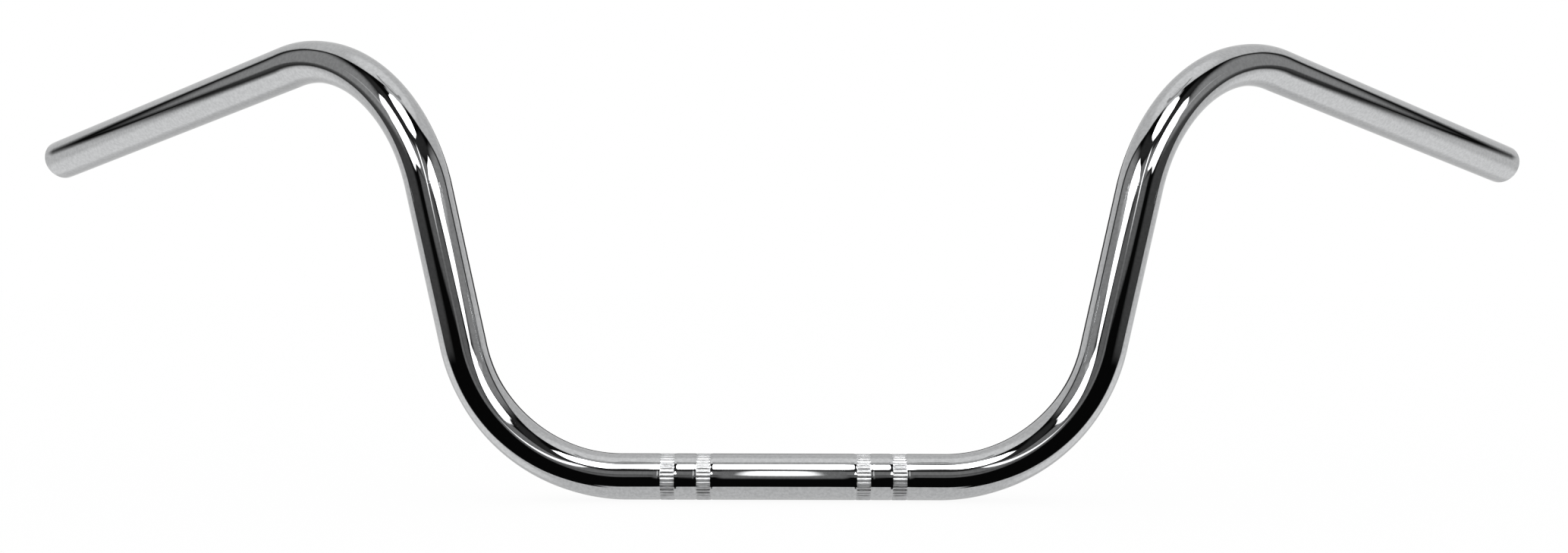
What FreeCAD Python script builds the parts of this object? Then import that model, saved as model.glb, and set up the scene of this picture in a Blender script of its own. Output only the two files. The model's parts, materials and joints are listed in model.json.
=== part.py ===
"""High-rise motorcycle handlebar: one steel tube, knurled where the clamps hold it.

The tube is built as the stretches that a tube bender makes: straights and bends, each a ring
section swept along its own +Z and placed on the end of the stretch before it. The left half
starts at the middle of the clamp section and runs to the left hand's end, and the right half
is its mirror image. Millimetres, origin at the middle of the clamp section, +X to the rider's
left, +Y back to the rider, +Z up.
"""

import FreeCAD, Part
import os
import Sketcher

SIZES = (
    ("tube_diameter", 22.2, "outside of the tube, 7/8 in"),
    ("wall_thickness", 2.2, "wall of the tube"),
    ("clamp_pair_spacing", 94.0, "between the middles of the two knurled pairs"),
    ("knurl_pitch", 17.3, "between the middles of the two bands of a pair"),
    ("knurl_width", 6.7, "one knurled band, along the tube"),
    ("shoulder_length", 17.5, "plain tube from the outer band to the lower bend"),
    ("bend_radius", 80.0, "centreline radius of every bend, one bending die"),
    ("lower_bend_angle", 77.5, "turn from the clamp section up into the riser"),
    ("riser_length", 78.5, "straight part of the riser"),
    ("sweep_angle", 35.5, "turn of the upper bend's plane back to the rider"),
    ("upper_bend_angle", 90.0, "turn from the riser out into the grip"),
    ("grip_length", 220.0, "straight part of the grip section"),
    ("rib_count", 36, "ribs around a knurled band"),
    ("groove_width", 1.2, "a knurl groove at the tube's surface"),
    ("groove_depth", 0.4, "a knurl groove below the tube's surface"),
    ("rim_round", 0.8, "rounding of the tube end's outer edge"),
    ("mouth_chamfer", 0.5, "chamfer of the tube end's inner edge"),
)

OUTER = "Sizes.tube_diameter / 2"
INNER = "Sizes.tube_diameter / 2 - Sizes.wall_thickness"
STEPS = {
    "straight": "placement(vector(0; 0; {length}); rotation(vector(0; 0; 1); 0))",
    "bend": (
        "placement(vector({radius} * (1 - cos({angle})); 0; {radius} * sin({angle}));"
        " rotation(vector(0; 1; 0); {angle}))"
    ),
    "twist": "placement(vector(0; 0; 0); rotation(vector(0; 0; 1); {angle}))",
}


def make_sheet(doc):
    sheet = doc.addObject("Spreadsheet::Sheet", "Sizes")
    for row, (alias, value, meaning) in enumerate(SIZES, start=1):
        sheet.set(f"A{row}", meaning)
        sheet.set(f"B{row}", str(value))
        sheet.setAlias(f"B{row}", alias)
    doc.recompute()
    return sheet


def origin_feature(body, role):
    return next(f for f in body.Origin.OriginFeatures if f.Role == role)


def new_body(doc, name, placement):
    body = doc.addObject("PartDesign::Body", name)
    body.Label = name
    body.setExpression("Placement", placement)
    return body


def new_sketch(body, name):
    sketch = body.newObject("Sketcher::SketchObject", f"{body.Name}_{name}")
    sketch.AttachmentSupport = (origin_feature(body, "XY_Plane"), [""])
    sketch.MapMode = "FlatFace"
    return sketch


def constrain(sketch, kind, *places, size):
    """Add a dimension to the sketch and bind it to an expression of the sheet."""
    index = sketch.addConstraint(Sketcher.Constraint(kind, *places, 1.0))
    sketch.setExpression(f"Constraints[{index}]", size)


def ring_sketch(body):
    """The tube's section, round the body's own Z axis."""
    sketch = new_sketch(body, "section")
    up = FreeCAD.Vector(0, 0, 1)
    for start_radius, radius in ((10, OUTER), (8, INNER)):
        circle = sketch.addGeometry(Part.Circle(FreeCAD.Vector(), up, start_radius))
        sketch.addConstraint(Sketcher.Constraint("Coincident", circle, 3, -1, 1))
        constrain(sketch, "Radius", circle, size=radius)
    return sketch


def straight_body(doc, name, placement, length):
    """A straight stretch of tube, from the body's origin along its +Z."""
    body = new_body(doc, name, placement)
    pad = body.newObject("PartDesign::Pad", f"{name}_tube")
    pad.Profile = ring_sketch(body)
    pad.setExpression("Length", length)
    doc.recompute()
    return body


def bend_body(doc, name, placement, angle):
    """A bent stretch of tube, which leaves along +Z and turns to the body's +X."""
    body = new_body(doc, name, placement)
    sketch = ring_sketch(body)
    start, end = FreeCAD.Vector(60, 0, 0), FreeCAD.Vector(60, 10, 0)
    axis = sketch.addGeometry(Part.LineSegment(start, end), True)
    sketch.addConstraint(Sketcher.Constraint("Vertical", axis))
    sketch.addConstraint(Sketcher.Constraint("PointOnObject", axis, 1, -1))
    constrain(sketch, "DistanceX", -1, 1, axis, 1, size="Sizes.bend_radius")
    constrain(sketch, "DistanceY", axis, 1, axis, 2, size=OUTER)
    bend = body.newObject("PartDesign::Revolution", f"{name}_tube")
    bend.Profile = sketch
    bend.ReferenceAxis = (sketch, ["Axis0"])
    bend.setExpression("Angle", angle)
    doc.recompute()
    if bend.Shape.CenterOfMass.z < 0 or bend.Shape.CenterOfMass.x < 0:
        raise RuntimeError(f"{name} turns away from its travel")
    return body


def knurl_body(doc, name, placement):
    """A knurled band: the tube with V grooves along it, whose crests are the tube's surface."""
    body = straight_body(doc, name, placement, "Sizes.knurl_width")
    plain_volume = body.Shape.Volume
    sketch = new_sketch(body, "groove")
    tip, low, high = (FreeCAD.Vector(*p) for p in ((9, 0, 0), (12, -1, 0), (12, 1, 0)))
    sides = [(tip, low), (low, high), (high, tip)]
    first, outer, last = (sketch.addGeometry(Part.LineSegment(*side)) for side in sides)
    for one, other in ((first, outer), (outer, last), (last, first)):
        sketch.addConstraint(Sketcher.Constraint("Coincident", one, 2, other, 1))
    sketch.addConstraint(Sketcher.Constraint("Symmetric", outer, 1, outer, 2, -1))
    sketch.addConstraint(Sketcher.Constraint("PointOnObject", first, 1, -1))
    constrain(sketch, "DistanceX", -1, 1, first, 1, size=f"{OUTER} - Sizes.groove_depth")
    constrain(sketch, "DistanceX", -1, 1, outer, 1, size=f"{OUTER} + Sizes.groove_depth")
    constrain(sketch, "DistanceY", outer, 1, outer, 2, size="2 * Sizes.groove_width")
    groove = body.newObject("PartDesign::Pocket", f"{name}_groove")
    groove.Profile = sketch
    groove.Type = "ThroughAll"
    groove.Reversed = True
    doc.recompute()
    pattern = body.newObject("PartDesign::PolarPattern", f"{name}_grooves")
    pattern.Originals = [groove]
    pattern.Axis = (origin_feature(body, "Z_Axis"), [""])
    pattern.Angle = 360
    pattern.setExpression("Occurrences", "Sizes.rib_count")
    body.Tip = pattern
    doc.recompute()
    if body.Shape.Volume >= groove.Shape.Volume or groove.Shape.Volume >= plain_volume:
        raise RuntimeError(f"the grooves of {name} cut nothing")
    return body


def end_edge(shape, radius):
    """The round edge of that radius at the far end of a straight stretch."""
    round_edges = [e for e in shape.Edges if isinstance(e.Curve, Part.Circle)]
    far = max(e.Curve.Center.z for e in round_edges)
    for number, edge in enumerate(shape.Edges, start=1):
        if not isinstance(edge.Curve, Part.Circle) or edge.Curve.Center.z < far - 0.01:
            continue
        if abs(edge.Curve.Radius - radius) < 0.01:
            return f"Edge{number}"
    raise RuntimeError(f"no end edge of radius {radius}")


def grip_body(doc, sheet, name, placement):
    """The straight that carries the grip: square-cut end, rounded outside, chamfered mouth."""
    body = straight_body(doc, name, placement, "Sizes.grip_length")
    outer = sheet.tube_diameter / 2
    tube = body.Tip
    rim = body.newObject("PartDesign::Fillet", f"{name}_rim")
    rim.Base = (tube, [end_edge(tube.Shape, outer)])
    rim.setExpression("Radius", "Sizes.rim_round")
    doc.recompute()
    mouth = body.newObject("PartDesign::Chamfer", f"{name}_mouth")
    mouth.Base = (rim, [end_edge(rim.Shape, outer - sheet.wall_thickness)])
    mouth.setExpression("Size", "Sizes.mouth_chamfer")
    doc.recompute()
    return body


def build_half(doc, sheet, side):
    """One half of the bar, from the end of the centre span out to the grip's end."""
    left = side == "left"
    heading = 90 if left else -90
    # the first stretch travels along the half's own way out, with its +X turned straight up
    place = (
        "placement(vector(0; 0; 0); rotation(vector(0; 1; 0); {heading}))"
        " * placement(vector(0; 0; 0); rotation(vector(0; 0; 1); {roll}))"
        " * placement(vector(0; 0; {length}); rotation(vector(0; 0; 1); 0))"
    ).format(heading=heading, roll=180 if left else 0, length=centre_half())
    twist = "180 + Sizes.sweep_angle" if left else "180 - Sizes.sweep_angle"
    land = "Sizes.knurl_pitch - Sizes.knurl_width"
    stretches = (
        ("inner_knurl", "knurl", "Sizes.knurl_width"),
        ("clamp_land", "straight", land),
        ("outer_knurl", "knurl", "Sizes.knurl_width"),
        ("shoulder", "straight", "Sizes.shoulder_length"),
        ("lower_bend", "bend", "Sizes.lower_bend_angle"),
        ("riser", "straight", "Sizes.riser_length"),
        ("upper_bend", "bend", "Sizes.upper_bend_angle"),
        ("grip_section", "grip", "Sizes.grip_length"),
    )
    bodies = []
    for stretch, kind, size in stretches:
        name = f"{side}_{stretch}"
        if stretch == "upper_bend":
            place += " * " + STEPS["twist"].format(angle=twist)
        if kind == "bend":
            body = bend_body(doc, name, place, size)
            step = STEPS["bend"].format(radius="Sizes.bend_radius", angle=size)
        else:
            step = STEPS["straight"].format(length=size)
            if kind == "knurl":
                body = knurl_body(doc, name, place)
            elif kind == "grip":
                body = grip_body(doc, sheet, name, place)
            else:
                body = straight_body(doc, name, place, size)
        bodies.append(body)
        place = f"{name}.Placement * {step}"
    return bodies


def centre_half():
    """Half of the plain span between the two inner knurled bands."""
    return "(Sizes.clamp_pair_spacing - Sizes.knurl_pitch - Sizes.knurl_width) / 2"


def build(doc):
    sheet = make_sheet(doc)
    middle = (
        "placement(vector(0; 0; 0); rotation(vector(0; 1; 0); 90))"
        f" * placement(vector(0; 0; -{centre_half()}); rotation(vector(0; 0; 1); 0))"
    )
    bodies = [straight_body(doc, "centre_span", middle, f"2 * {centre_half()}")]
    bodies += build_half(doc, sheet, "left")
    bodies += build_half(doc, sheet, "right")
    return bodies


def check(doc, bodies):
    for item in doc.Objects:
        if "Invalid" in item.State or "Error" in item.State:
            raise RuntimeError(f"{item.Label} is {item.State}")
    for body in bodies:
        if body.Shape.isNull() or not body.Shape.isValid() or len(body.Shape.Solids) != 1:
            raise RuntimeError(f"{body.Label} is not one valid solid")


def write(bodies):
    os.makedirs("parts", exist_ok=True)
    for body in bodies:
        body.Shape.exportStep(os.path.join("parts", f"{body.Label}.step"))
        box = body.Shape.BoundBox
        print(
            f"{body.Label:20s} volume {body.Shape.Volume:9.1f} mm3"
            f"  x {box.XMin:8.2f} {box.XMax:8.2f}"
            f"  y {box.YMin:8.2f} {box.YMax:8.2f}"
            f"  z {box.ZMin:8.2f} {box.ZMax:8.2f}"
        )


document = FreeCAD.newDocument("Handlebar")
parts = build(document)
document.recompute()
check(document, parts)
write(parts)
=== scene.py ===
"""Looks of a high-rise motorcycle handlebar: one bright chromed tube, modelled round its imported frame.

The bar is bent from a single 7/8 in steel tube. Its plain stretches are modelled as a tube bender
makes them, a ring of the tube's section drawn out along the straights and spun round the bends,
which flatten a little as they do on a real bender. The four clamp bands are knurled by pressing
grooves into the same tube. Metres, +X to the rider's left, +Y back to the rider, +Z up.
"""

import json
import math
import random

import bpy
from bpy.props import FloatProperty, FloatVectorProperty, IntProperty, PointerProperty
from mathutils import Matrix, Vector


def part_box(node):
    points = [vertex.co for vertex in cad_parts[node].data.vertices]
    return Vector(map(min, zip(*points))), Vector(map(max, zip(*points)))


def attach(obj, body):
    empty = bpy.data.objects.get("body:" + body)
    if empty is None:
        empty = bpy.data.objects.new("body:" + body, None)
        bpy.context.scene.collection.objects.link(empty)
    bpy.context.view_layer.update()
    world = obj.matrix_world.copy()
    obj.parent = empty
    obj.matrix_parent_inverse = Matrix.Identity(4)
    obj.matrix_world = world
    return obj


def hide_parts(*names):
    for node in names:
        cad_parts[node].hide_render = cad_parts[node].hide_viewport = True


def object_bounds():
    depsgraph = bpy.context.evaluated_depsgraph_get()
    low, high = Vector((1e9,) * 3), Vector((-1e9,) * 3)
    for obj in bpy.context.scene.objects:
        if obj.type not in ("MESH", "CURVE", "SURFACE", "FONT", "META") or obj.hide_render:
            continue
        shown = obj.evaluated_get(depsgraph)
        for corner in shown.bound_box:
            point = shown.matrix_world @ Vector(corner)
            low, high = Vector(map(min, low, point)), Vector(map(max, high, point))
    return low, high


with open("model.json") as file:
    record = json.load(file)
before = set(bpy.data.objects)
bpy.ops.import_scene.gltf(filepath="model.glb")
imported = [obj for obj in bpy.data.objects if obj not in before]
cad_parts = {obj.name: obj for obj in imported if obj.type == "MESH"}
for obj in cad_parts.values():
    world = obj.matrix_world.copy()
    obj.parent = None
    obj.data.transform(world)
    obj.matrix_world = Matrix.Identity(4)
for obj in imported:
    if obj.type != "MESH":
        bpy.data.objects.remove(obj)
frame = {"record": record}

bl_info = {
    "name": "Chromed Handlebar",
    "version": (1, 0, 0),
    "blender": (4, 5, 0),
    "location": "View3D > Sidebar > Handlebar",
    "description": "Models a high-rise motorcycle handlebar bent from one chromed steel tube",
    "category": "Add Mesh",
}

CAD_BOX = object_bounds()
MOUNTS = {mount["name"]: mount for mount in frame["record"]["mounts"]}
BAR_X, BAR_Y, BAR_Z = (Vector(axis) for axis in ((1, 0, 0), (0, 1, 0), (0, 0, 1)))
SLOTS = {"plain": "polished_chrome", "knurled": "knurled_chrome"}
SIDES = ("left", "right")
MILLIMETRE = 0.001
# how deep the plain tube lies at each step out of the dip beside a band and into the next one,
# as a share of the dip
OUT_OF_DIP = (1.0, 0.84, 0.47, 0.13, 0.0)
INTO_DIP = (0.0, 0.13, 0.47, 0.84, 1.0)
# how quickly a bend's flattening builds up from its ends
SQUEEZE_BUILD_UP = 1.6
# the number of steps that each straight stretch is drawn out in
SPAN_STEPS, BAND_STEPS, SHOULDER_STEPS, RISER_STEPS, GRIP_STEPS = 12, 6, 4, 10, 24
# edges turning by more than this stay sharp
SHARP_ANGLE = math.radians(30)
# in metres: points nearer than this are one, an open end's edge is found to within this, and the
# bar stands this far above the floor, so that the two don't share a surface
SAME_POINT = 1e-6
EDGE_REACH = 5e-5
FLOOR_GAP = 5e-5
# the middle of the shell that the chrome reflects
SHELL_CENTRE = (0, -0.1, 0.1)


def linear(hex_colour):
    """An sRGB hex colour as the linear colour that Blender's shaders work in."""
    parts = [int(hex_colour[i : i + 2], 16) / 255 for i in (1, 3, 5)]
    return [p / 12.92 if p <= 0.04045 else ((p + 0.055) / 1.055) ** 2.4 for p in parts]


# ---------------------------------------------------------------- sizes and colours


class TubeSizes(bpy.types.PropertyGroup):
    """The tube and the course that it is bent to"""

    outer_radius: FloatProperty(
        name="Outer Radius",
        description="Outside radius of the tube",
        default=MOUNTS["clamp_section"]["dims"]["r_mm"] * MILLIMETRE,
        subtype="DISTANCE",
        unit="LENGTH",
    )
    bore_radius: FloatProperty(
        name="Bore Radius",
        description="Inside radius of the tube",
        default=MOUNTS["left_bar_end"]["dims"]["r_mm"] * MILLIMETRE,
        subtype="DISTANCE",
        unit="LENGTH",
    )
    bend_radius: FloatProperty(
        name="Bend Radius",
        description="Radius of every bend, to the tube's centreline",
        default=0.080,
        subtype="DISTANCE",
        unit="LENGTH",
    )
    lower_bend: FloatProperty(
        name="Lower Bend",
        description="Turn from the clamp section up into the riser",
        default=math.radians(77.5),
        subtype="ANGLE",
        unit="ROTATION",
    )
    riser: FloatProperty(
        name="Riser",
        description="Straight length of the riser",
        default=0.0785,
        subtype="DISTANCE",
        unit="LENGTH",
    )
    sweep: FloatProperty(
        name="Sweep",
        description="Turn of the upper bend's plane back to the rider",
        default=math.radians(35.5),
        subtype="ANGLE",
        unit="ROTATION",
    )
    upper_bend: FloatProperty(
        name="Upper Bend",
        description="Turn from the riser out into the grip section",
        default=math.radians(90),
        subtype="ANGLE",
        unit="ROTATION",
    )
    grip: FloatProperty(
        name="Grip Section",
        description="Straight length that carries the grip",
        default=0.220,
        subtype="DISTANCE",
        unit="LENGTH",
    )
    lower_flattening: FloatProperty(
        name="Lower Flattening",
        description="Share of its width that the tube loses across the lower bend",
        default=0.035,
        subtype="FACTOR",
        min=0,
        max=0.2,
    )
    upper_flattening: FloatProperty(
        name="Upper Flattening",
        description="Share of its width that the tube loses across the upper bend",
        default=0.06,
        subtype="FACTOR",
        min=0,
        max=0.2,
    )
    rim_round: FloatProperty(
        name="Rim Rounding",
        description="Rounding of the open end's outer edge",
        default=0.0008,
        subtype="DISTANCE",
        unit="LENGTH",
    )
    mouth_chamfer: FloatProperty(
        name="Mouth Chamfer",
        description="Chamfer of the open end's inner edge",
        default=0.0005,
        subtype="DISTANCE",
        unit="LENGTH",
    )
    facets: IntProperty(
        name="Facets",
        description="Faces round the tube",
        default=96,
        min=24,
    )
    bend_steps: IntProperty(
        name="Bend Steps",
        description="Faces along each bend",
        default=56,
        min=8,
    )


class KnurlSizes(bpy.types.PropertyGroup):
    """The straight knurling that the clamps bite on"""

    ribs: IntProperty(
        name="Ribs",
        description="Ribs round a knurled band",
        default=36,
        min=8,
    )
    depth: FloatProperty(
        name="Depth",
        description="Depth of a groove below the tube's surface",
        default=0.0004,
        subtype="DISTANCE",
        unit="LENGTH",
    )
    unevenness: FloatProperty(
        name="Unevenness",
        description="Share by which the shallowest groove is less deep than the deepest",
        default=0.4,
        subtype="FACTOR",
        min=0,
        max=1,
    )
    run_out: FloatProperty(
        name="Run-out",
        description="Length over which the grooves fade out at both ends of a band",
        default=0.0006,
        subtype="DISTANCE",
        unit="LENGTH",
    )
    dip: FloatProperty(
        name="Dip",
        description="Depth of the ring pressed into the tube beside a band by the knurling roll's edge",
        default=0.00014,
        subtype="DISTANCE",
        unit="LENGTH",
    )
    dip_length: FloatProperty(
        name="Dip Length",
        description="Length of plain tube over which the dip fades out",
        default=0.0014,
        subtype="DISTANCE",
        unit="LENGTH",
    )
    seed: IntProperty(
        name="Seed",
        description="Seed of the grooves' differences",
        default=7,
    )


class FinishColours(bpy.types.PropertyGroup):
    """The colours of the bar's finishes"""

    chrome: FloatVectorProperty(
        name="Chrome",
        description="Colour that bright chrome plate gives what it reflects",
        default=linear("#C4C5C6"),
        subtype="COLOR",
        size=3,
        min=0,
        max=1,
    )
    knurl: FloatVectorProperty(
        name="Knurled Chrome",
        description="Colour of the plate on the ribs of the knurling",
        default=linear("#D2D3D4"),
        subtype="COLOR",
        size=3,
        min=0,
        max=1,
    )
    bore: FloatVectorProperty(
        name="Bore",
        description="Colour of the bare steel inside the tube",
        default=linear("#7D7A76"),
        subtype="COLOR",
        size=3,
        min=0,
        max=1,
    )


class StudioSettings(bpy.types.PropertyGroup):
    """The studio that the bar stands in"""

    camera_place: FloatVectorProperty(
        name="Camera",
        description="Place of the camera",
        default=(-0.00272, -0.75993, 0.09728),
        subtype="TRANSLATION",
        unit="LENGTH",
        size=3,
    )
    camera_turn: FloatVectorProperty(
        name="Camera Turn",
        description="Turn of the camera, which looks straight along +Y at 90, 0, 0 degrees",
        default=[math.radians(turn) for turn in (89.961, -0.168, -0.203)],
        subtype="EULER",
        size=3,
    )
    lens: FloatProperty(
        name="Lens",
        description="Focal length on a sensor 36 mm wide, in millimetres",
        default=36.115,
    )
    shell_radius: FloatProperty(
        name="Shell Radius",
        description="Distance of the cloths and lamps that the chrome reflects",
        default=1.4,
        subtype="DISTANCE",
        unit="LENGTH",
    )
    floor_radius: FloatProperty(
        name="Floor Radius",
        description="Radius of the pale floor",
        default=9.0,
        subtype="DISTANCE",
        unit="LENGTH",
    )


# ---------------------------------------------------------------- modelling


def let_go():
    """Leave edit mode, with nothing selected."""
    if bpy.context.mode != "OBJECT":
        bpy.ops.object.mode_set(mode="OBJECT")
    bpy.ops.object.select_all(action="DESELECT")


def start_ring(name, place, radius, facets):
    """A ring of the tube's section across the clamp section's axis, left selected in edit mode."""
    let_go()
    bpy.ops.mesh.primitive_circle_add(
        vertices=facets, radius=radius, location=place, rotation=(0, math.pi / 2, 0)
    )
    piece = bpy.context.active_object
    piece.name = piece.data.name = name
    bpy.ops.object.transform_apply(location=True, rotation=True, scale=True)
    bpy.ops.object.mode_set(mode="EDIT")
    bpy.ops.mesh.select_all(action="SELECT")
    return piece


def draw_out(step):
    """Draw the selected ring out into a straight stretch."""
    bpy.ops.mesh.extrude_region_move(TRANSFORM_OT_translate={"value": step})


def narrow(share, centre):
    """Scale the selected vertices about the clamp section's axis."""
    bpy.ops.transform.resize(
        value=(1, share, share),
        constraint_axis=(False, True, True),
        orient_type="GLOBAL",
        center_override=centre,
    )


def slope(place, radius, knurl, depths):
    """Draw the selected ring through the dip beside a band, as deep at each step as its share."""
    step = BAR_X * knurl.dip_length / (len(depths) - 1)
    for before, after in zip(depths, depths[1:]):
        draw_out(step)
        place = place + step
        narrow((radius - knurl.dip * after) / (radius - knurl.dip * before), place)
    return place


def bend_round(place, heading, inward, turn, radius, steps, flattening):
    """Spin the selected ring round a bend, squeezing each new ring in the bend's plane."""
    centre = place + inward * radius
    axis = heading.cross(inward)
    width = 1
    for step in range(1, steps + 1):
        bpy.ops.mesh.spin(steps=1, angle=turn / steps, center=centre, axis=-axis)
        turned = Matrix.Rotation(turn * step / steps, 3, axis)
        across, along = turned @ inward, turned @ heading
        # the squeeze builds up quickly from both ends of the bend and is even between them
        squeeze = min(1, SQUEEZE_BUILD_UP * math.sin(math.pi * step / steps))
        new_width = 1 - flattening * squeeze
        bpy.ops.transform.resize(
            value=(new_width / width, 1, 1),
            orient_type="GLOBAL",
            orient_matrix=Matrix((across, axis, along)).transposed(),
            orient_matrix_type="GLOBAL",
            constraint_axis=(True, True, False),
            center_override=centre - across * radius,
        )
        width = new_width
    turned = Matrix.Rotation(turn, 3, axis)
    return centre - turned @ inward * radius, turned @ heading, turned @ inward


def give_wall(piece, thickness):
    """Close the drawn-out skin into a tube with a wall inside it."""
    bpy.ops.mesh.select_all(action="SELECT")
    bpy.ops.mesh.remove_doubles(threshold=SAME_POINT)
    bpy.ops.mesh.normals_make_consistent(inside=False)
    bpy.ops.object.mode_set(mode="OBJECT")
    wall = piece.modifiers.new("wall", "SOLIDIFY")
    wall.thickness = thickness
    wall.offset = -1
    wall.use_even_offset = True
    bpy.ops.object.modifier_apply(modifier=wall.name)


def select_where(piece, wanted):
    """Select the vertices whose place passes the test, and go to edit mode."""
    let_go()
    bpy.context.view_layer.objects.active = piece
    piece.select_set(True)
    bpy.ops.object.mode_set(mode="EDIT")
    bpy.ops.mesh.select_mode(type="VERT")
    bpy.ops.mesh.select_all(action="DESELECT")
    bpy.ops.object.mode_set(mode="OBJECT")
    for vertex in piece.data.vertices:
        vertex.select = wanted(vertex.co)
    bpy.ops.object.mode_set(mode="EDIT")


def smooth(piece):
    """Shade smoothly, with every edge over the sharp angle kept sharp."""
    let_go()
    bpy.context.view_layer.objects.active = piece
    piece.select_set(True)
    bpy.ops.object.shade_smooth_by_angle(angle=SHARP_ANGLE)


def copy_of(piece, name, move):
    """A copy of a piece with its own mesh, moved to its own place."""
    let_go()
    piece.select_set(True)
    bpy.context.view_layer.objects.active = piece
    bpy.ops.object.duplicate(linked=False)
    copy = bpy.context.active_object
    copy.name = copy.data.name = name
    copy.data.transform(move)
    return copy


def course_from(stretches):
    """The centreline as straights and bends, each with its start, directions and distance along."""
    course, travelled = [], 0
    for place, heading, inward, length, radius in stretches:
        course.append((place, heading, inward, length, radius, travelled))
        travelled += length
    return course


def on_course(point, course):
    """(distance along the tube, angle round it, distance from its centreline) of a point."""
    best = None
    for place, heading, inward, length, radius, travelled in course:
        side = heading.cross(inward)
        offset = point - place
        if radius:
            across = inward * radius - offset
            across -= side * across.dot(side)
            run = math.atan2(-across.dot(heading), across.dot(inward)) * radius
            towards = across.normalized()
            centre = place + (inward - towards) * radius
        else:
            run = offset.dot(heading)
            centre, towards = place + heading * run, inward
        spare = max(-run, run - length, 0)
        away = point - centre
        found = (spare, travelled + run, math.atan2(away.dot(side), away.dot(towards)), away.length)
        if best is None or spare < best[0] - 1e-7:
            best = found
    return best[1:]


def map_tube(piece, course, outer_radius, bore_radius, plate, bore):
    """Lay a map along and round the tube, in metres, and part the bore's faces from the plated ones."""
    mesh = piece.data
    mesh.materials.clear()
    mesh.materials.append(plate)
    mesh.materials.append(bore)
    placed = [on_course(vertex.co, course) for vertex in mesh.vertices]
    for other in [each.name for each in mesh.uv_layers]:
        mesh.uv_layers.remove(mesh.uv_layers[other])
    layer = mesh.uv_layers.new(name="tube")
    limit = (outer_radius + bore_radius) / 2
    for face in mesh.polygons:
        turns = [placed[v][1] for v in face.vertices]
        crosses_seam = max(turns) - min(turns) > math.pi
        for corner, vertex in zip(face.loop_indices, face.vertices):
            along, turn, _ = placed[vertex]
            if crosses_seam and turn < 0:
                turn += 2 * math.pi
            layer.data[corner].uv = (turn * outer_radius, along)
        inner = max(placed[v][2] for v in face.vertices) < limit
        face.material_index = 1 if inner else 0


def hand_in(piece, slot, *nodes):
    """Tie a finished piece to the body it rides on, and hide the nodes it stands for. Its slot is not
    used.
    """
    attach(piece, "root")
    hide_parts(*nodes)


# ---------------------------------------------------------------- materials


def add_node(tree, kind, inputs=None, **settings):
    """Add a node with its settings, its inputs' values and the links into it."""
    made = tree.nodes.new(kind)
    for name, value in settings.items():
        setattr(made, name, value)
    for name, value in (inputs or {}).items():
        if isinstance(value, bpy.types.NodeSocket):
            tree.links.new(value, made.inputs[name])
        else:
            made.inputs[name].default_value = value
    return made


def new_material(name):
    """An empty procedural material and its shader."""
    material = bpy.data.materials.get(name)
    if material is None:
        material = bpy.data.materials.new(name)
    material.use_nodes = True
    tree = material.node_tree
    tree.nodes.clear()
    shader = add_node(tree, "ShaderNodeBsdfPrincipled")
    output = add_node(tree, "ShaderNodeOutputMaterial", {"Surface": shader.outputs[0]})
    output.is_active_output = True
    return material, tree, shader


def colour(values):
    return (*values, 1.0)


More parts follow.
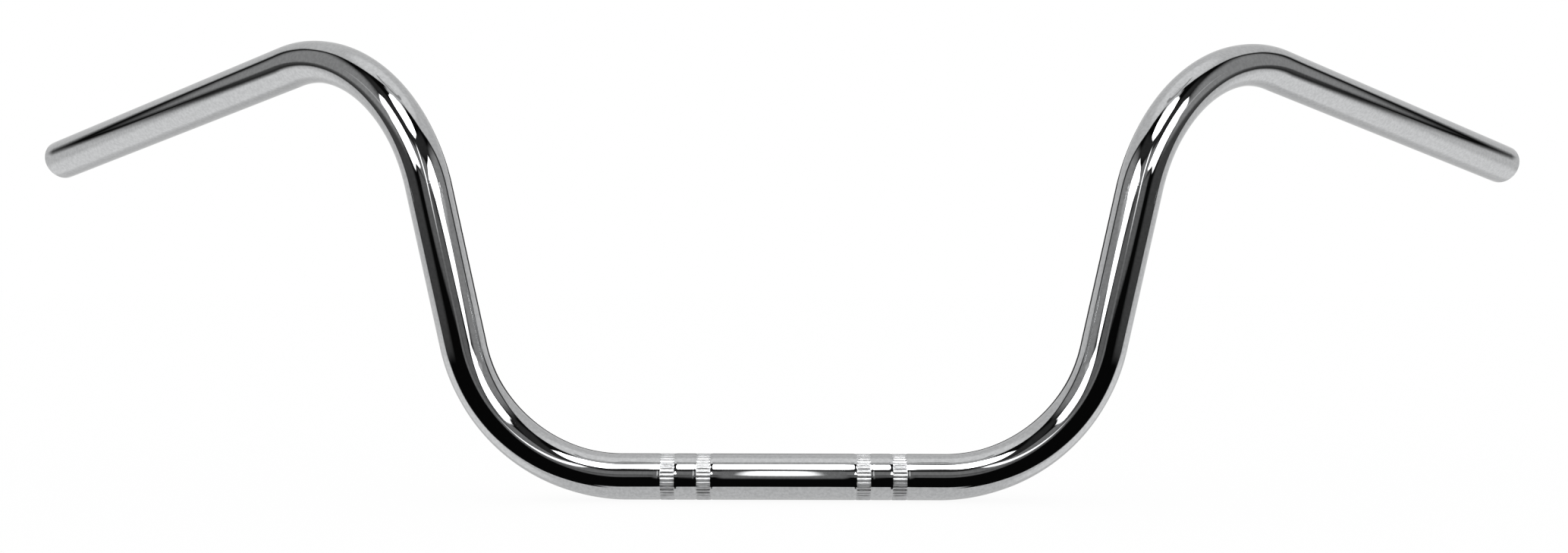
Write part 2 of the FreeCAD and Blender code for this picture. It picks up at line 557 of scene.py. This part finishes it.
def bright_chrome(colours):
    """Bright chrome plate on buffed steel tube: a mirror, cool and slightly dark, as chromium is.

    What gives it away as metal and not glass is that the mirror isn't perfect: the drawn tube under
    the plate waves gently over 10 to 30 mm, the buffing wheel leaves hairlines along the tube that
    only show against the dark reflections, and handling leaves a faint haze.
    """
    material, tree, shader = new_material("bright_chrome_plate_on_buffed_steel")
    shader.inputs["Metallic"].default_value = 1.0
    place = add_node(tree, "ShaderNodeTexCoord").outputs["Object"]
    tube = add_node(tree, "ShaderNodeUVMap", uv_map="tube").outputs["UV"]

    # haze: patches 25 mm across where the plate is less sharp, and a mottle of 1.5 mm specks
    haze = add_node(
        tree, "ShaderNodeTexNoise", {"Vector": place, "Scale": 40.0, "Detail": 3.0}
    )
    mottle = add_node(
        tree, "ShaderNodeTexNoise", {"Vector": place, "Scale": 650.0, "Detail": 2.0}
    )
    specks = add_node(
        tree,
        "ShaderNodeMapRange",
        {"Value": mottle.outputs["Fac"], "From Min": 0.35, "From Max": 0.65},
    )
    shade = add_node(
        tree,
        "ShaderNodeMix",
        {
            "Factor": specks.outputs["Result"],
            "A": colour(colours.chrome),
            "B": colour([part * 0.86 for part in colours.chrome]),
        },
        data_type="RGBA",
    )
    tree.links.new(shade.outputs["Result"], shader.inputs["Base Color"])

    # buffing hairlines: 0.25 mm apart round the tube and 30 mm long down it
    lines_place = add_node(
        tree, "ShaderNodeMapping", {"Vector": tube, "Scale": (4000.0, 33.0, 1.0)}
    )
    lines = add_node(
        tree,
        "ShaderNodeTexNoise",
        {"Vector": lines_place.outputs[0], "Scale": 1.0, "Detail": 2.0},
    )
    gloss = add_node(
        tree,
        "ShaderNodeMapRange",
        {
            "Value": haze.outputs["Fac"],
            "From Min": 0.35,
            "From Max": 0.75,
            "To Min": 0.010,
            "To Max": 0.03,
        },
    )
    lined = add_node(
        tree,
        "ShaderNodeMath",
        {0: lines.outputs["Fac"], 1: 0.015, 2: gloss.outputs["Result"]},
        operation="MULTIPLY_ADD",
    )
    tree.links.new(lined.outputs[0], shader.inputs["Roughness"])

    # the drawn tube's own waves, 0.02 mm high over 20 mm, stretched along the tube
    wave_place = add_node(
        tree, "ShaderNodeMapping", {"Vector": tube, "Scale": (110.0, 28.0, 1.0)}
    )
    waves = add_node(
        tree,
        "ShaderNodeTexNoise",
        {"Vector": wave_place.outputs[0], "Scale": 1.0, "Detail": 2.0, "Roughness": 0.4},
    )
    waved = add_node(
        tree,
        "ShaderNodeBump",
        {"Height": waves.outputs["Fac"], "Strength": 1.0, "Distance": 0.00004},
    )
    fine = add_node(
        tree,
        "ShaderNodeBump",
        {
            "Height": lines.outputs["Fac"],
            "Strength": 1.0,
            "Distance": 0.0000006,
            "Normal": waved.outputs["Normal"],
        },
    )
    tree.links.new(fine.outputs["Normal"], shader.inputs["Normal"])
    return material


def knurled_chrome(colours):
    """The same chrome plate over rolled knurling: the bite of the roll leaves it satin, not mirror.

    The ribs are modelled. The plate over them is finely grainy, so it glows softly in the light
    and stays grey where the plain tube goes black.
    """
    material, tree, shader = new_material("chrome_plate_over_rolled_knurling")
    shader.inputs["Metallic"].default_value = 1.0
    place = add_node(tree, "ShaderNodeTexCoord").outputs["Object"]
    grain = add_node(
        tree, "ShaderNodeTexNoise", {"Vector": place, "Scale": 3000.0, "Detail": 3.0}
    )
    wear = add_node(
        tree, "ShaderNodeTexNoise", {"Vector": place, "Scale": 500.0, "Detail": 2.0}
    )
    shade = add_node(
        tree,
        "ShaderNodeMix",
        {
            "Factor": wear.outputs["Fac"],
            "A": colour(colours.knurl),
            "B": colour([part * 0.7 for part in colours.knurl]),
        },
        data_type="RGBA",
    )
    tree.links.new(shade.outputs["Result"], shader.inputs["Base Color"])
    gloss = add_node(
        tree,
        "ShaderNodeMapRange",
        {
            "Value": wear.outputs["Fac"],
            "From Min": 0.3,
            "From Max": 0.7,
            "To Min": 0.36,
            "To Max": 0.5,
        },
    )
    tree.links.new(gloss.outputs["Result"], shader.inputs["Roughness"])
    bump = add_node(
        tree,
        "ShaderNodeBump",
        {"Height": grain.outputs["Fac"], "Strength": 1.0, "Distance": 0.000004},
    )
    tree.links.new(bump.outputs["Normal"], shader.inputs["Normal"])
    return material


def drawn_steel(colours):
    """Bare drawn steel inside the tube: unplated, so it is brown-grey and dull, with die lines."""
    material, tree, shader = new_material("bare_drawn_steel_bore")
    shader.inputs["Metallic"].default_value = 1.0
    place = add_node(tree, "ShaderNodeTexCoord").outputs["Object"]
    tube = add_node(tree, "ShaderNodeUVMap", uv_map="tube").outputs["UV"]
    rust = add_node(
        tree, "ShaderNodeTexNoise", {"Vector": place, "Scale": 260.0, "Detail": 4.0}
    )
    lines_place = add_node(
        tree, "ShaderNodeMapping", {"Vector": tube, "Scale": (1500.0, 20.0, 1.0)}
    )
    lines = add_node(
        tree,
        "ShaderNodeTexNoise",
        {"Vector": lines_place.outputs[0], "Scale": 1.0, "Detail": 3.0},
    )
    shade = add_node(
        tree,
        "ShaderNodeMix",
        {
            "Factor": rust.outputs["Fac"],
            "A": colour(colours.bore),
            "B": colour([part * 0.55 for part in colours.bore]),
        },
        data_type="RGBA",
    )
    tree.links.new(shade.outputs["Result"], shader.inputs["Base Color"])
    gloss = add_node(
        tree,
        "ShaderNodeMapRange",
        {"Value": lines.outputs["Fac"], "To Min": 0.35, "To Max": 0.6},
    )
    tree.links.new(gloss.outputs["Result"], shader.inputs["Roughness"])
    bump = add_node(
        tree,
        "ShaderNodeBump",
        {"Height": lines.outputs["Fac"], "Strength": 1.0, "Distance": 0.00003},
    )
    tree.links.new(bump.outputs["Normal"], shader.inputs["Normal"])
    return material


# ---------------------------------------------------------------- the studio's light

# The half-width of the dark front of the studio in degrees of azimuth, at each elevation.
DARK_FRONT = (
    (-90, -20),
    (-62, -20),
    (-58, 44),
    (-54, 64),
    (-48, 75),
    (-38, 86),
    (-28, 92),
    (-18, 91),
    (-10, 94),
    (3, 101),
    (12, 113),
    (20, 117),
    (30, 116),
    (38, 111),
    (50, 96),
    (60, 77),
    (68, 62),
    (74, 44),
    (79, 5),
    (90, -20),
)
# The softness of its edge in degrees, and the brightness of the cloth round it and of the dark.
FRONT_EDGE = 4
CLOTH = 0.44
DARK = 0.002
# A curve holds values from 0 to 1 only, so degrees go into it as shares of half a turn, and the
# half-width is lifted by this much, because it goes below 0 where there is no dark front.
HALF_TURN = 180.0
CURVE_LIFT = 0.2
# What is round the bar, on both sides alike: azimuth, elevation, half-width, half-height and tilt
# in degrees, softness of the edge, brightness, and how far inside the dark front it is kept. The
# cloths hang behind the dark front, and the glows and lamps are before it.
CLOTHS = (
    ("ceiling", 135, 80, 72, 18, 0, 0.6, 0.58, None),
    ("front_floor", 108, -35, 24, 23, 9, 0.5, 0.58, None),
    ("back_low", 168, -24, 28, 22, 2, 0.4, 0.38, None),
    ("back_mid", 150, 30, 60, 16, 5, 0.5, 0.41, None),
    ("back_door", 180, 3, 20, 11, 0, 0.35, 0.03, None),
)
GLOWS = (
    ("grey_wall", 83, 19, 26, 25, 4, 0.6, 0.21, 8),
    ("low_wall", 74, -4, 24, 10, -6, 0.6, 0.045, 4),
    ("front_wall", 30, 44, 34, 8, 12, 0.7, 0.02, 9),
    ("floor_edge", 0, -60, 26, 10, 0, 0.3, 0.42, None),
    ("inner_glow", 10, 22, 11, 9, 5, 0.5, 0.15, None),
    ("inner_foot", 17, 6, 12, 6, 0, 0.6, 0.1, None),
    ("strip_glow", 0, 14, 5.5, 20, 0, 0.6, 0.13, None),
    ("strip", 0, 21, 2.3, 13, 0, 0.5, 1.3, None),
    ("overhead_skirt", 0, 74, 32, 7, 0, 0.6, 0.42, None),
    ("seam", 0, 80.1, 92, 2.0, 0, 0.33, 0.24, None),
)
# The lamps' outlines, as corners at azimuth and elevation going clockwise, with the softness of
# the edge in degrees and the brightness.
LAMPS = (
    (
        "overhead",
        ((-9, 71), (12, 71), (24, 67), (29, 60), (24, 52), (8, 44), (-9, 44)),
        1.6,
        5.0,
    ),
    (
        "softbox",
        (
            (13, 17.5),
            (16, 21),
            (25, 29.5),
            (46, 39.5),
            (52, 37),
            (60, 21),
            (58, 15),
            (30, 13.5),
            (17, 15.5),
        ),
        1.0,
        2.5,
    ),
    (
        "softbox_foot",
        ((29, 14), (57, 15), (51, 11), (41.5, 7.2), (37.5, 8)),
        1.0,
        2.0,
    ),
    (
        "streak",
        ((54, 16.5), (59, 21.5), (70, 22), (79, 20.6), (68, 18.5)),
        1.2,
        0.35,
    ),
)


def shell_material(reflectance):
    """What the chrome sees of the studio: white cloth behind and below, and a dark front with lamps."""
    material = bpy.data.materials.new("studio_shell")
    material.use_nodes = True
    tree = material.node_tree
    tree.nodes.clear()
    place = add_node(tree, "ShaderNodeTexCoord").outputs["Object"]
    towards = add_node(
        tree, "ShaderNodeVectorMath", {0: place}, operation="NORMALIZE"
    )
    parts = add_node(
        tree, "ShaderNodeSeparateXYZ", {"Vector": towards.outputs["Vector"]}
    ).outputs

    def maths(operation, *values):
        return add_node(
            tree, "ShaderNodeMath", dict(enumerate(values)), operation=operation
        ).outputs[0]

    beside = maths("ABSOLUTE", parts["X"])
    front = maths("MULTIPLY", parts["Y"], -1.0)
    azimuth = maths("DEGREES", maths("ARCTAN2", beside, front))
    elevation = maths("DEGREES", maths("ARCSINE", parts["Z"]))
    angles = add_node(
        tree, "ShaderNodeCombineXYZ", {"X": azimuth, "Y": elevation, "Z": 1.0}
    ).outputs["Vector"]

    limit = add_node(
        tree,
        "ShaderNodeFloatCurve",
        {"Value": maths("MULTIPLY_ADD", elevation, 1 / HALF_TURN, 0.5)},
    )
    curve = limit.mapping.curves[0]
    while len(curve.points) < len(DARK_FRONT):
        curve.points.new(0.5, 0.5)
    for point, (height, half_width) in zip(curve.points, DARK_FRONT):
        point.location = (height / HALF_TURN + 0.5, half_width / HALF_TURN + CURVE_LIFT)
        point.handle_type = "VECTOR"
    limit.mapping.update()
    width = maths("MULTIPLY", maths("SUBTRACT", limit.outputs["Value"], CURVE_LIFT), HALF_TURN)

    def smooth_step(value, start, end):
        return add_node(
            tree,
            "ShaderNodeMapRange",
            {"Value": value, "From Min": start, "From Max": end},
            interpolation_type="SMOOTHSTEP",
        ).outputs["Result"]

    def mix(factor, first, second):
        return add_node(
            tree,
            "ShaderNodeMix",
            {"Factor": factor, "A": first, "B": second},
            data_type="FLOAT",
        ).outputs["Result"]

    within = maths("SUBTRACT", width, azimuth)

    def round_patches(tone, patches):
        for name, left, up, half_width, half_height, tilt, softness, brightness, inset in patches:
            placed = add_node(
                tree,
                "ShaderNodeMapping",
                {
                    "Vector": angles,
                    "Location": (left, up, 1.0),
                    "Rotation": (0.0, 0.0, math.radians(tilt)),
                    "Scale": (half_width, half_height, 1.0),
                },
                vector_type="TEXTURE",
                label=name,
            ).outputs["Vector"]
            squared = add_node(
                tree, "ShaderNodeVectorMath", {0: placed, 1: placed}, operation="MULTIPLY"
            ).outputs["Vector"]
            reach = add_node(
                tree, "ShaderNodeVectorMath", {0: squared}, operation="LENGTH"
            ).outputs["Value"]
            inside = smooth_step(reach, 1 + softness, 1 - softness)
            if inset is not None:
                kept = smooth_step(within, inset - FRONT_EDGE, inset + FRONT_EDGE)
                inside = maths("MULTIPLY", inside, kept)
            tone = mix(inside, tone, brightness)
        return tone

    def lamp(tone, corners, softness, brightness):
        depth = None
        for (left, up), (right, down) in zip(corners, corners[1:] + corners[:1]):
            length = math.hypot(right - left, down - up)
            inward = ((down - up) / length, (left - right) / length)
            edge = (*inward, -inward[0] * left - inward[1] * up)
            distance = add_node(
                tree, "ShaderNodeVectorMath", {0: angles, 1: edge}, operation="DOT_PRODUCT"
            ).outputs["Value"]
            depth = distance if depth is None else maths("MINIMUM", depth, distance)
        return mix(smooth_step(depth, -softness, softness), tone, brightness)

    tone = round_patches(CLOTH, CLOTHS)
    tone = mix(smooth_step(within, -FRONT_EDGE, FRONT_EDGE), tone, DARK)
    tone = round_patches(tone, GLOWS)
    for _, corners, softness, brightness in LAMPS:
        tone = lamp(tone, corners, softness, brightness)
    light = add_node(
        tree,
        "ShaderNodeEmission",
        {"Color": (1, 1, 1, 1), "Strength": maths("DIVIDE", tone, reflectance)},
    )
    add_node(tree, "ShaderNodeOutputMaterial", {"Surface": light.outputs[0]})
    return material


# ---------------------------------------------------------------- operators


class HANDLEBAR_OT_clamp_tubes(bpy.types.Operator):
    """Model the plain stretches of the clamp section: the middle span and the land of each clamp"""

    bl_idname = "handlebar.clamp_tubes"
    bl_label = "Clamp Section Tubes"

    def execute(self, context):
        sizes = context.scene.handlebar_tube
        knurl = context.scene.handlebar_knurl
        plate = bright_chrome(context.scene.handlebar_colours)
        bore = drawn_steel(context.scene.handlebar_colours)
        nodes = ["centre_span"] + [f"{side}_clamp_land" for side in SIDES]
        for node in nodes:
            low, high = (corner.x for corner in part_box(node))
            name = node + "_tube"
            start = Vector((low, 0, 0))
            piece = start_ring(name, start, sizes.outer_radius - knurl.dip, sizes.facets)
            place = slope(start, sizes.outer_radius, knurl, OUT_OF_DIP)
            plain = high - low - 2 * knurl.dip_length
            for _ in range(SPAN_STEPS):
                draw_out(BAR_X * plain / SPAN_STEPS)
            slope(place + BAR_X * plain, sizes.outer_radius, knurl, INTO_DIP)
            give_wall(piece, sizes.outer_radius - sizes.bore_radius)
            smooth(piece)
            course = course_from([(start, BAR_X, BAR_Z, high - low, 0)])
            map_tube(piece, course, sizes.outer_radius, sizes.bore_radius, plate, bore)
            hand_in(piece, SLOTS["plain"], node)
        return {"FINISHED"}


# The corners round the tube from one rib's crest to the next, the share of a groove's depth that
# each of them goes in by, and the number of different depths.
CORNERS = 8
GROOVE = ((0.1, (1, 7)), (0.5, (2, 6)), (0.86, (3, 5)), (1.0, (4,)))
GRADES = 4
TURNED_RIBS = 7


class HANDLEBAR_OT_knurled_bands(bpy.types.Operator):
    """Model one knurled band and copy it to the four places where the clamps bite"""

    bl_idname = "handlebar.knurled_bands"
    bl_label = "Knurled Bands"

    def execute(self, context):
        sizes = context.scene.handlebar_tube
        knurl = context.scene.handlebar_knurl
        plate = knurled_chrome(context.scene.handlebar_colours)
        bore = drawn_steel(context.scene.handlebar_colours)
        nodes = [f"{side}_{band}_knurl" for side in SIDES for band in ("inner", "outer")]
        low, high = (corner.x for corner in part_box(nodes[0]))
        pattern = self.model(nodes[0].replace("knurl", "knurled_band"), low, high, sizes, knurl)
        course = course_from([(Vector((low, 0, 0)), BAR_X, BAR_Z, high - low, 0)])
        map_tube(pattern, course, sizes.outer_radius, sizes.bore_radius, plate, bore)
        bands = [pattern]
        for number, node in enumerate(nodes[1:], start=1):
            # each copy is turned by some ribs, so that no two bands show the same grooves
            turn = Matrix.Rotation(math.tau * number * TURNED_RIBS / knurl.ribs, 4, "X")
            shift = Matrix.Translation((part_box(node)[0].x - low, 0, 0))
            name = node.replace("knurl", "knurled_band")
            bands.append(copy_of(pattern, name, shift @ turn))
        for band, node in zip(bands, nodes):
            hand_in(band, SLOTS["knurled"], node)
        return {"FINISHED"}

    def model(self, name, low, high, sizes, knurl):
        """A band of tube with grooves pressed into it, which fade out towards its two ends."""
        draws = random.Random(knurl.seed)
        grades = [draws.randrange(GRADES) for _ in range(knurl.ribs)]
        start = Vector((low, 0, 0))
        facets = knurl.ribs * CORNERS
        end_radius = sizes.outer_radius - knurl.dip / 2
        piece = start_ring(name, start, end_radius, facets)
        draw_out(BAR_X * knurl.run_out)
        narrow(sizes.outer_radius / end_radius, start)
        for _ in range(BAND_STEPS):
            draw_out(BAR_X * (high - low - 2 * knurl.run_out) / BAND_STEPS)
        draw_out(BAR_X * knurl.run_out)
        narrow(end_radius / sizes.outer_radius, start)
        give_wall(piece, sizes.outer_radius - sizes.bore_radius)

        margin = knurl.run_out / 2
        skin = sizes.outer_radius - knurl.dip
        for grade in range(GRADES):
            depth = knurl.depth * (1 - knurl.unevenness * grade / (GRADES - 1))
            for share, corners in GROOVE:

                def pressed(place):
                    inside = low + margin < place.x < high - margin
                    if not inside or math.hypot(place.y, place.z) < skin:
                        return False
                    turn = math.atan2(place.z, place.y) % math.tau
                    number = round(turn / math.tau * facets) % facets
                    groove, corner = divmod(number, CORNERS)
                    return grades[groove] == grade and corner in corners

                select_where(piece, pressed)
                narrow(1 - depth * share / sizes.outer_radius, start)
        smooth(piece)
        return piece


class HANDLEBAR_OT_arms(bpy.types.Operator):
    """Model the left arm from the outer knurl to its open end, and mirror it to the right"""

    bl_idname = "handlebar.arms"
    bl_label = "Arms"

    def execute(self, context):
        sizes = context.scene.handlebar_tube
        knurl = context.scene.handlebar_knurl
        plate = bright_chrome(context.scene.handlebar_colours)
        bore = drawn_steel(context.scene.handlebar_colours)
        low, high = (corner.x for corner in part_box("left_shoulder"))
        place = Vector((low, 0, 0))
        ring = sizes.outer_radius - knurl.dip
        left = start_ring("left_arm_tube", place, ring, sizes.facets)
        slope(place, sizes.outer_radius, knurl, OUT_OF_DIP)
        stretches = []

        def straight(place, heading, inward, length, steps, drawn=0):
            for _ in range(steps):
                draw_out(heading * (length - drawn) / steps)
            stretches.append((place, heading, inward, length, 0))
            return place + heading * length, heading, inward

        def bent(place, heading, inward, turn, flattening):
            radius = sizes.bend_radius
            stretches.append((place, heading, inward, turn * radius, radius))
            return bend_round(
                place, heading, inward, turn, radius, sizes.bend_steps, flattening
            )

        course = straight(place, BAR_X, BAR_Z, high - low, SHOULDER_STEPS, knurl.dip_length)
        course = bent(*course, sizes.lower_bend, sizes.lower_flattening)
        place, heading, inward = straight(*course, sizes.riser, RISER_STEPS)
        swept = Matrix.Rotation(math.pi + sizes.sweep, 3, heading) @ inward
        if swept.y < 0:
            swept = Matrix.Rotation(math.pi - sizes.sweep, 3, heading) @ inward
        course = bent(place, heading, swept, sizes.upper_bend, sizes.upper_flattening)
        end, heading, inward = straight(*course, sizes.grip, GRIP_STEPS)
        self.check_end(end, heading)

        give_wall(left, sizes.outer_radius - sizes.bore_radius)
        self.ease_edge(left, end, sizes.outer_radius, sizes.rim_round, segments=6)
        self.ease_edge(left, end, sizes.bore_radius, sizes.mouth_chamfer, segments=1)
        smooth(left)
        map_tube(
            left,
            course_from(stretches),
            sizes.outer_radius,
            sizes.bore_radius,
            plate,
            bore,
        )
        right = copy_of(left, "right_arm_tube", Matrix.Scale(-1, 4, BAR_X))
        right.data.flip_normals()
        parts = ("shoulder", "lower_bend", "riser", "upper_bend", "grip_section")
        for side, piece in zip(SIDES, (left, right)):
            hand_in(piece, SLOTS["plain"], *(f"{side}_{part}" for part in parts))
        return {"FINISHED"}

    def check_end(self, end, heading):
        """Stop if the tube doesn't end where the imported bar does."""
        mount = MOUNTS["left_bar_end"]
        off_axis = heading.cross(Vector(mount["axis"])).length
        off_line = (end - Vector(mount["pos_m"])).cross(heading).length
        if off_axis > 1e-3 or off_line > 1e-4:
            raise RuntimeError(f"the arm ends at {end}, away from the packed bar's end")

    def ease_edge(self, piece, end, radius, size, segments):
        """Bevel the open end's edge of that radius."""
        select_where(piece, lambda place: abs((place - end).length - radius) < EDGE_REACH)
        bpy.ops.mesh.select_mode(type="EDGE")
        bpy.ops.mesh.bevel(offset=size, segments=segments, affect="EDGES")
        bpy.ops.object.mode_set(mode="OBJECT")


class HANDLEBAR_OT_studio(bpy.types.Operator):
    """Set up the pale floor, the soft studio light and the camera"""

    bl_idname = "handlebar.studio"
    bl_label = "Studio"

    def execute(self, context):
        settings = context.scene.handlebar_studio
        reflectance = sum(context.scene.handlebar_colours.chrome) / 3
        self.floor(settings)
        self.shell(settings, reflectance)
        self.daylight(context.scene)
        self.camera(context.scene, settings)
        context.scene.view_settings.view_transform = "Standard"
        return {"FINISHED"}

    def floor(self, settings):
        """A flat matt white floor that the bar stands on, almost burnt out by its own light."""
        let_go()
        bpy.ops.mesh.primitive_circle_add(
            vertices=128,
            radius=settings.floor_radius,
            fill_type="NGON",
            location=(0, 0, CAD_BOX[0].z - FLOOR_GAP),
        )
        floor = bpy.context.active_object
        floor.name = floor.data.name = "pale_floor"
        material, tree, shader = new_material("matt_white_paper_sweep")
        shader.inputs["Base Color"].default_value = colour(linear("#4A4A4A"))
        shader.inputs["Roughness"].default_value = 0.9
        shader.inputs["Specular IOR Level"].default_value = 0.0
        shader.inputs["Emission Color"].default_value = (1, 1, 1, 1)
        shader.inputs["Emission Strength"].default_value = 0.93
        floor.data.materials.append(material)
        floor.visible_glossy = False

    def shell(self, settings, reflectance):
        """A ball of cloths and lamps round the bar, which only the chrome sees."""
        let_go()
        bpy.ops.mesh.primitive_uv_sphere_add(
            segments=64, ring_count=32, radius=settings.shell_radius, location=SHELL_CENTRE
        )
        shell = bpy.context.active_object
        shell.name = shell.data.name = "studio_shell"
        shell.data.materials.append(shell_material(reflectance))
        bpy.ops.object.shade_smooth()
        shell.visible_camera = False
        shell.visible_diffuse = False
        shell.visible_shadow = False
        shell.visible_transmission = False

    def daylight(self, scene):
        """Even white light from all round."""
        world = bpy.data.worlds.new("studio_white")
        scene.world = world
        world.use_nodes = True
        background = world.node_tree.nodes["Background"]
        background.inputs["Color"].default_value = (1, 1, 1, 1)
        background.inputs["Strength"].default_value = 1.0

    def camera(self, scene, settings):
        let_go()
        bpy.ops.object.camera_add(
            location=settings.camera_place, rotation=settings.camera_turn
        )
        camera = bpy.context.active_object
        camera.name = camera.data.name = "studio_camera"
        camera.data.sensor_width = 36
        camera.data.lens = settings.lens
        camera.data.clip_start, camera.data.clip_end = 0.01, 50
        scene.camera = camera


class HANDLEBAR_PT_panel(bpy.types.Panel):
    """The handlebar's sizes and steps"""

    bl_idname = "HANDLEBAR_PT_panel"
    bl_label = "Chromed Handlebar"
    bl_space_type = "VIEW_3D"
    bl_region_type = "UI"
    bl_category = "Handlebar"

    def draw(self, context):
        for name in GROUPS:
            group = getattr(context.scene, name)
            box = self.layout.box()
            for size in group.bl_rna.properties:
                if size.identifier not in ("rna_type", "name"):
                    box.prop(group, size.identifier)
        for step in STEPS:
            self.layout.operator(step.bl_idname)


GROUPS = {
    "handlebar_tube": TubeSizes,
    "handlebar_knurl": KnurlSizes,
    "handlebar_colours": FinishColours,
    "handlebar_studio": StudioSettings,
}
STEPS = (
    HANDLEBAR_OT_clamp_tubes,
    HANDLEBAR_OT_knurled_bands,
    HANDLEBAR_OT_arms,
    HANDLEBAR_OT_studio,
)


def register():
    for each in (*GROUPS.values(), *STEPS, HANDLEBAR_PT_panel):
        bpy.utils.register_class(each)
    for name, group in GROUPS.items():
        setattr(bpy.types.Scene, name, PointerProperty(type=group))


def unregister():
    for name in GROUPS:
        delattr(bpy.types.Scene, name)
    for each in (HANDLEBAR_PT_panel, *reversed(STEPS), *reversed(GROUPS.values())):
        bpy.utils.unregister_class(each)


def main():
    register()
    bpy.ops.handlebar.clamp_tubes()
    bpy.ops.handlebar.knurled_bands()
    bpy.ops.handlebar.arms()
    bpy.ops.handlebar.studio()
    let_go()


if __name__ == "__main__":
    main()
